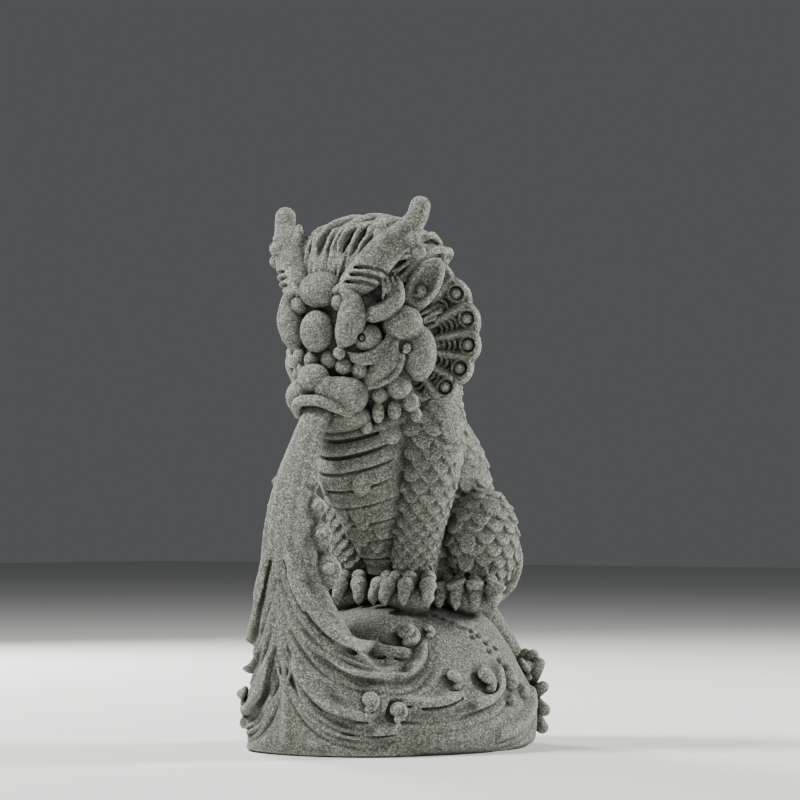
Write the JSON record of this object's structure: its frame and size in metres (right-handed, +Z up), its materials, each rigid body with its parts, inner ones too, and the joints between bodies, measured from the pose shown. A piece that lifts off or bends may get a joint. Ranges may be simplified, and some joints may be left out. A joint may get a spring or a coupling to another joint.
{
  "type": "mythical beast figure",
  "caption": "Seated mythical beast with a dragon's horns, a ribbed ruff and scales, spouting the wave it sits on, cast in one piece as a small ornament.",
  "frame": {"origin": "middle of the underside, on the surface it stands on", "axes": "+Z up, -Y the way the beast faces, +X the beast's left side"},
  "size_m": [0.0724, 0.0915, 0.1486],
  "materials": {
    "sandstone": "rough"
  },
  "bodies": {
    "root": {"beast_figure": "sandstone"}
  },
  "joints": []
}
